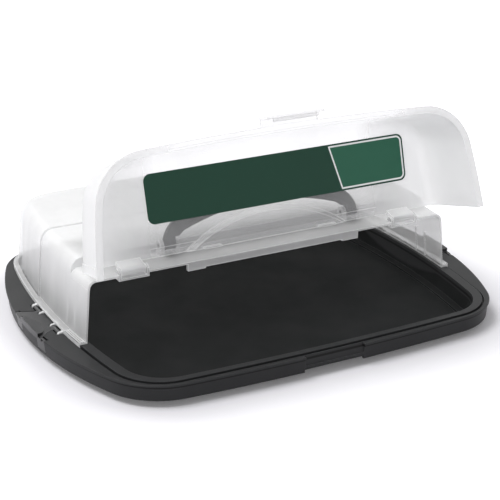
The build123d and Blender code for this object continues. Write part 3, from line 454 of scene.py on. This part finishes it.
def label_film(name, deep, fresh, line):
    """Printed film: deep green, a lighter green field at the right with a pale outline.

    The field is a rounded box cut by a slanted line, measured on the panel: along x and along
    the direction in which the open panel stands up from its hinge.
    """
    mat, tree, shader = clear_material(name)
    shader.inputs["Specular IOR Level"].default_value = 0.25
    up = Vector((0.0, -math.cos(FLAP_OPEN), math.sin(FLAP_OPEN)))
    place = put(tree, "ShaderNodeVectorMath", operation="SUBTRACT")
    tree.links.new(object_coordinates(tree), place.inputs[0])
    place.inputs[1].default_value = HINGE
    height = put(tree, "ShaderNodeVectorMath", operation="DOT_PRODUCT")
    tree.links.new(place.outputs[0], height.inputs[0])
    height.inputs[1].default_value = up
    along = axis_value(tree, "X")
    flat = put(tree, "ShaderNodeCombineXYZ")
    tree.links.new(along, flat.inputs["X"])
    tree.links.new(height.outputs["Value"], flat.inputs["Y"])
    box = rounded_box(tree, flat.outputs[0], FIELD_CENTRE, FIELD_HALF, FIELD_CORNER)
    lean = math_node(tree, "MULTIPLY", height.outputs["Value"], FIELD_SLANT)
    side = math_node(tree, "SUBTRACT", FIELD_START, lean)
    slant = math_node(tree, "SUBTRACT", side, along)
    border = math_node(tree, "MAXIMUM", box, slant)
    inside = ramp(tree, border, FIELD_SOFTNESS, -FIELD_SOFTNESS)
    stroke = ramp(tree, math_node(tree, "ABSOLUTE", border), *reversed(LINE_HALF))
    green = mixed(tree, inside, deep, fresh)
    tree.links.new(mixed(tree, stroke, green, line), shader.inputs["Base Color"])
    node = grain(tree, 1500.0, 0.34, 0.42)
    tree.links.new(node.outputs["Value"], shader.inputs["Roughness"])
    bumps = put(tree, "ShaderNodeBump", Distance=0.0001, Strength=0.1)
    tree.links.new(node.outputs["Height"], bumps.inputs["Height"])
    tree.links.new(bumps.outputs["Normal"], shader.inputs["Normal"])
    return mat


# ---- mesh helpers ----------------------------------------------------------------------------
def smoothing_group():
    """Geometry nodes: join loose corners, shade smooth, keep edges sharper than the angle."""
    group = bpy.data.node_groups.new("smooth_by_angle", "GeometryNodeTree")
    face = group.interface
    face.new_socket("Geometry", in_out="INPUT", socket_type="NodeSocketGeometry")
    angle = face.new_socket("Angle", in_out="INPUT", socket_type="NodeSocketFloat")
    angle.default_value = 0.5
    face.new_socket("Geometry", in_out="OUTPUT", socket_type="NodeSocketGeometry")
    source = group.nodes.new("NodeGroupInput")
    sink = group.nodes.new("NodeGroupOutput")
    merge = put(group, "GeometryNodeMergeByDistance", Distance=MERGE_DISTANCE)
    faces = put(group, "GeometryNodeSetShadeSmooth", domain="FACE")
    edges = put(group, "GeometryNodeSetShadeSmooth", domain="EDGE")
    turn = put(group, "GeometryNodeInputMeshEdgeAngle")
    less = put(group, "FunctionNodeCompare", data_type="FLOAT", operation="LESS_THAN")
    link = group.links.new
    link(source.outputs["Geometry"], merge.inputs["Geometry"])
    link(merge.outputs["Geometry"], faces.inputs["Geometry"])
    link(faces.outputs["Geometry"], edges.inputs["Geometry"])
    link(turn.outputs["Unsigned Angle"], less.inputs[0])
    link(source.outputs["Angle"], less.inputs[1])
    link(less.outputs["Result"], edges.inputs["Shade Smooth"])
    link(edges.outputs["Geometry"], sink.inputs["Geometry"])
    return group


def soften(obj, angle):
    """Smooth shading over the facets of a moulded piece."""
    modifier = obj.modifiers.new("smooth", "NODES")
    modifier.node_group = bpy.data.node_groups.get("smooth_by_angle") or smoothing_group()
    items = modifier.node_group.interface.items_tree
    name = next(i.identifier for i in items if i.name == "Angle")
    modifier[name] = angle


def dress(node, material, angle):
    """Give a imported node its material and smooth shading."""
    obj = NODES[node]
    obj.data.materials.clear()
    obj.data.materials.append(material)
    soften(obj, angle)
    return obj


# ---- pieces ----------------------------------------------------------------------------------
class CARRIER_OT_tray(bpy.types.Operator):
    """Finish the tray and its two latches in dark moulded plastic"""
    bl_idname = "carrier.tray"
    bl_label = "Tray and latches"

    def execute(self, context):
        finish = context.scene.carrier_finish
        sizes = context.scene.carrier_sizes
        mat = moulded_plastic("tray_plastic", finish.tray_tint, finish.edge_highlight_and_wear_tint, 0.42, 0.52,
                              sizes.edge, inner_tint_and_shade=finish.basin_tint_and_shade)
        dress("tray", mat, sizes.smooth_angle)
        # painted shade: the latches' edges are painted black, as the shade in the gap round them
        mat = moulded_plastic("latch_plastic", finish.tray_tint, PAINTED_SHADE_BLACK, 0.24, 0.34,
                              sizes.edge, gain=3.5, gloss=0.45)
        for node in ("latch_left", "latch_right"):
            dress(node, mat, sizes.smooth_angle)
        return {"FINISHED"}


class CARRIER_OT_hood(bpy.types.Operator):
    """Finish the rear hood and the flap in frosted plastic"""
    bl_idname = "carrier.hood"
    bl_label = "Hood and flap"

    def execute(self, context):
        finish = context.scene.carrier_finish
        sizes = context.scene.carrier_sizes
        dress("rear_hood",
              frosted_plastic("hood_plastic", finish.hood_tint, finish.hood_tint, sizes.edge,
                              finish.hood_veil - FOOT_CLEARER, finish.hood_veil, hood_zone),
              sizes.smooth_angle)
        dress("front_flap",
              frosted_plastic("flap_plastic", finish.flap_shaded_tint, finish.hood_tint, sizes.edge,
                              finish.flap_veil, FLAP_END_VEIL, flap_ends, gain=14.0),
              sizes.smooth_angle)
        return {"FINISHED"}


class CARRIER_OT_handle(bpy.types.Operator):
    """Finish the bail handle and the hinge pins"""
    bl_idname = "carrier.handle"
    bl_label = "Handle and pins"

    def execute(self, context):
        finish = context.scene.carrier_finish
        sizes = context.scene.carrier_sizes
        dress("carry_handle",
              moulded_plastic("handle_plastic", finish.handle_tint, finish.edge_highlight_and_wear_tint, 0.40,
                              0.50, sizes.edge), sizes.smooth_angle)
        mat, tree, shader = clear_material("pin_steel")
        shader.inputs["Base Color"].default_value = finish.pin_tint
        shader.inputs["Metallic"].default_value = 1.0
        drawn = grain(tree, 2500.0, 0.22, 0.34)
        tree.links.new(drawn.outputs["Value"], shader.inputs["Roughness"])
        for node in ("flap_pin_left", "flap_pin_right", "latch_pin_left", "latch_pin_right"):
            dress(node, mat, sizes.smooth_angle)
        return {"FINISHED"}


class CARRIER_OT_label(bpy.types.Operator):
    """Finish the bare film label: two greens and a pale outline"""
    bl_idname = "carrier.label"
    bl_label = "Label"

    def execute(self, context):
        finish = context.scene.carrier_finish
        sizes = context.scene.carrier_sizes
        mat = label_film("label_film", finish.label_deep, finish.label_fresh, finish.label_line)
        film = dress("label", mat, sizes.smooth_angle)
        clear = film.modifiers.new("clear_of_panel", "DISPLACE")
        clear.mid_level = 0.0
        clear.strength = -FILM_LIFT
        return {"FINISHED"}


# ---- stage -----------------------------------------------------------------------------------
def lamp(name, size, power, place, aim):
    """A rectangular area lamp that points at a place."""
    data = bpy.data.lights.new(name, "AREA")
    data.shape = "RECTANGLE"
    data.size, data.size_y = size
    data.energy = power
    obj = bpy.data.objects.new(name, data)
    bpy.context.scene.collection.objects.link(obj)
    obj.location = place
    obj.rotation_euler = (Vector(aim) - Vector(place)).to_track_quat("-Z", "Y").to_euler()
    return obj


def seen_white(tree, strength):
    """Emission that only camera, glossy and transmitted rays meet."""
    path = put(tree, "ShaderNodeLightPath")
    seen = math_node(tree, "MAXIMUM", path.outputs["Is Camera Ray"],
                     path.outputs["Is Glossy Ray"])
    seen = math_node(tree, "MAXIMUM", seen, path.outputs["Is Transmission Ray"])
    return math_node(tree, "MULTIPLY", seen, strength)


def add_floor(scene):
    """A white floor that glows a little more with its distance from the tray's outline."""
    mesh = bpy.data.meshes.new("floor")
    corners = [(x * FLOOR_REACH, y * FLOOR_REACH, 0.0)
               for x, y in ((-1, -1), (1, -1), (1, 1), (-1, 1))]
    mesh.from_pydata(corners, [], [(0, 1, 2, 3)])
    floor = bpy.data.objects.new("floor", mesh)
    scene.collection.objects.link(floor)
    mat, tree, shader = clear_material("floor_white")
    shader.inputs["Base Color"].default_value = FLOOR_TINT
    shader.inputs["Roughness"].default_value = 0.9
    shader.inputs["Specular IOR Level"].default_value = 0.0
    shader.inputs["Emission Color"].default_value = WHITE
    half = Vector(CAD_BOX[1]).xy
    beyond = rounded_box(tree, object_coordinates(tree), (0.0, 0.0), half, FLOOR_CORNER)
    glow = ramp(tree, beyond, *GLOW_SPAN, *GLOW_STRENGTH)
    tree.links.new(math_node(tree, "MULTIPLY", seen_white(tree, 1.0), glow),
                   shader.inputs["Emission Strength"])
    mesh.materials.append(mat)


def add_world(scene):
    """Plain light from all round, which shows as white where it is seen."""
    world = bpy.data.worlds.new("studio")
    world.use_nodes = True
    tree = world.node_tree
    back = next(n for n in tree.nodes if n.type == "BACKGROUND")
    back.inputs["Color"].default_value = WHITE
    strength = math_node(tree, "ADD", seen_white(tree, WORLD_SEEN), WORLD_LIGHT)
    tree.links.new(strength, back.inputs["Strength"])
    scene.world = world


def add_camera(scene, studio):
    """The camera, at its distance and two angles from the target."""
    away = Vector((math.sin(studio.azimuth) * math.cos(studio.elevation),
                   -math.cos(studio.azimuth) * math.cos(studio.elevation),
                   math.sin(studio.elevation)))
    data = bpy.data.cameras.new("camera")
    data.lens = studio.lens
    data.sensor_width = SENSOR_WIDTH
    data.clip_start = 0.05
    camera = bpy.data.objects.new("camera", data)
    scene.collection.objects.link(camera)
    camera.location = Vector(studio.target) + studio.distance * away
    camera.rotation_euler = (-away).to_track_quat("-Z", "Y").to_euler()
    scene.camera = camera


class CARRIER_OT_stage(bpy.types.Operator):
    """Build the white floor, the studio lights and the camera"""
    bl_idname = "carrier.stage"
    bl_label = "Studio"

    def execute(self, context):
        scene = context.scene
        add_floor(scene)
        add_world(scene)
        for row in LAMPS:
            lamp(*row)
        add_camera(scene, scene.carrier_studio)
        scene.view_settings.view_transform = "Standard"
        return {"FINISHED"}


class CARRIER_PT_panel(bpy.types.Panel):
    """Cake carrier tools in the 3D view's sidebar"""
    bl_idname = "CARRIER_PT_panel"
    bl_label = "Cake carrier"
    bl_space_type = "VIEW_3D"
    bl_region_type = "UI"
    bl_category = "Cake carrier"

    def draw(self, context):
        layout = self.layout
        for group in (context.scene.carrier_finish, context.scene.carrier_sizes,
                      context.scene.carrier_studio):
            box = layout.box()
            for name in group.__annotations__:
                box.prop(group, name)
        for piece in OPERATORS:
            layout.operator(piece.bl_idname)


GROUPS = {"carrier_finish": CarrierFinish, "carrier_sizes": CarrierSizes,
          "carrier_studio": CarrierStudio}
OPERATORS = (CARRIER_OT_tray, CARRIER_OT_hood, CARRIER_OT_handle, CARRIER_OT_label,
             CARRIER_OT_stage)


def register():
    """Register the classes and hang their settings on the scene."""
    for cls in (*GROUPS.values(), *OPERATORS, CARRIER_PT_panel):
        bpy.utils.register_class(cls)
    for name, group in GROUPS.items():
        setattr(bpy.types.Scene, name, bpy.props.PointerProperty(type=group))


def unregister():
    """Undo register."""
    for name in GROUPS:
        delattr(bpy.types.Scene, name)
    for cls in (CARRIER_PT_panel, *reversed(OPERATORS), *reversed(tuple(GROUPS.values()))):
        bpy.utils.unregister_class(cls)


def main():
    """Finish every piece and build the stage."""
    register()
    bpy.ops.carrier.tray()
    bpy.ops.carrier.hood()
    bpy.ops.carrier.handle()
    bpy.ops.carrier.label()
    bpy.ops.carrier.stage()


if __name__ == "__main__":
    main()
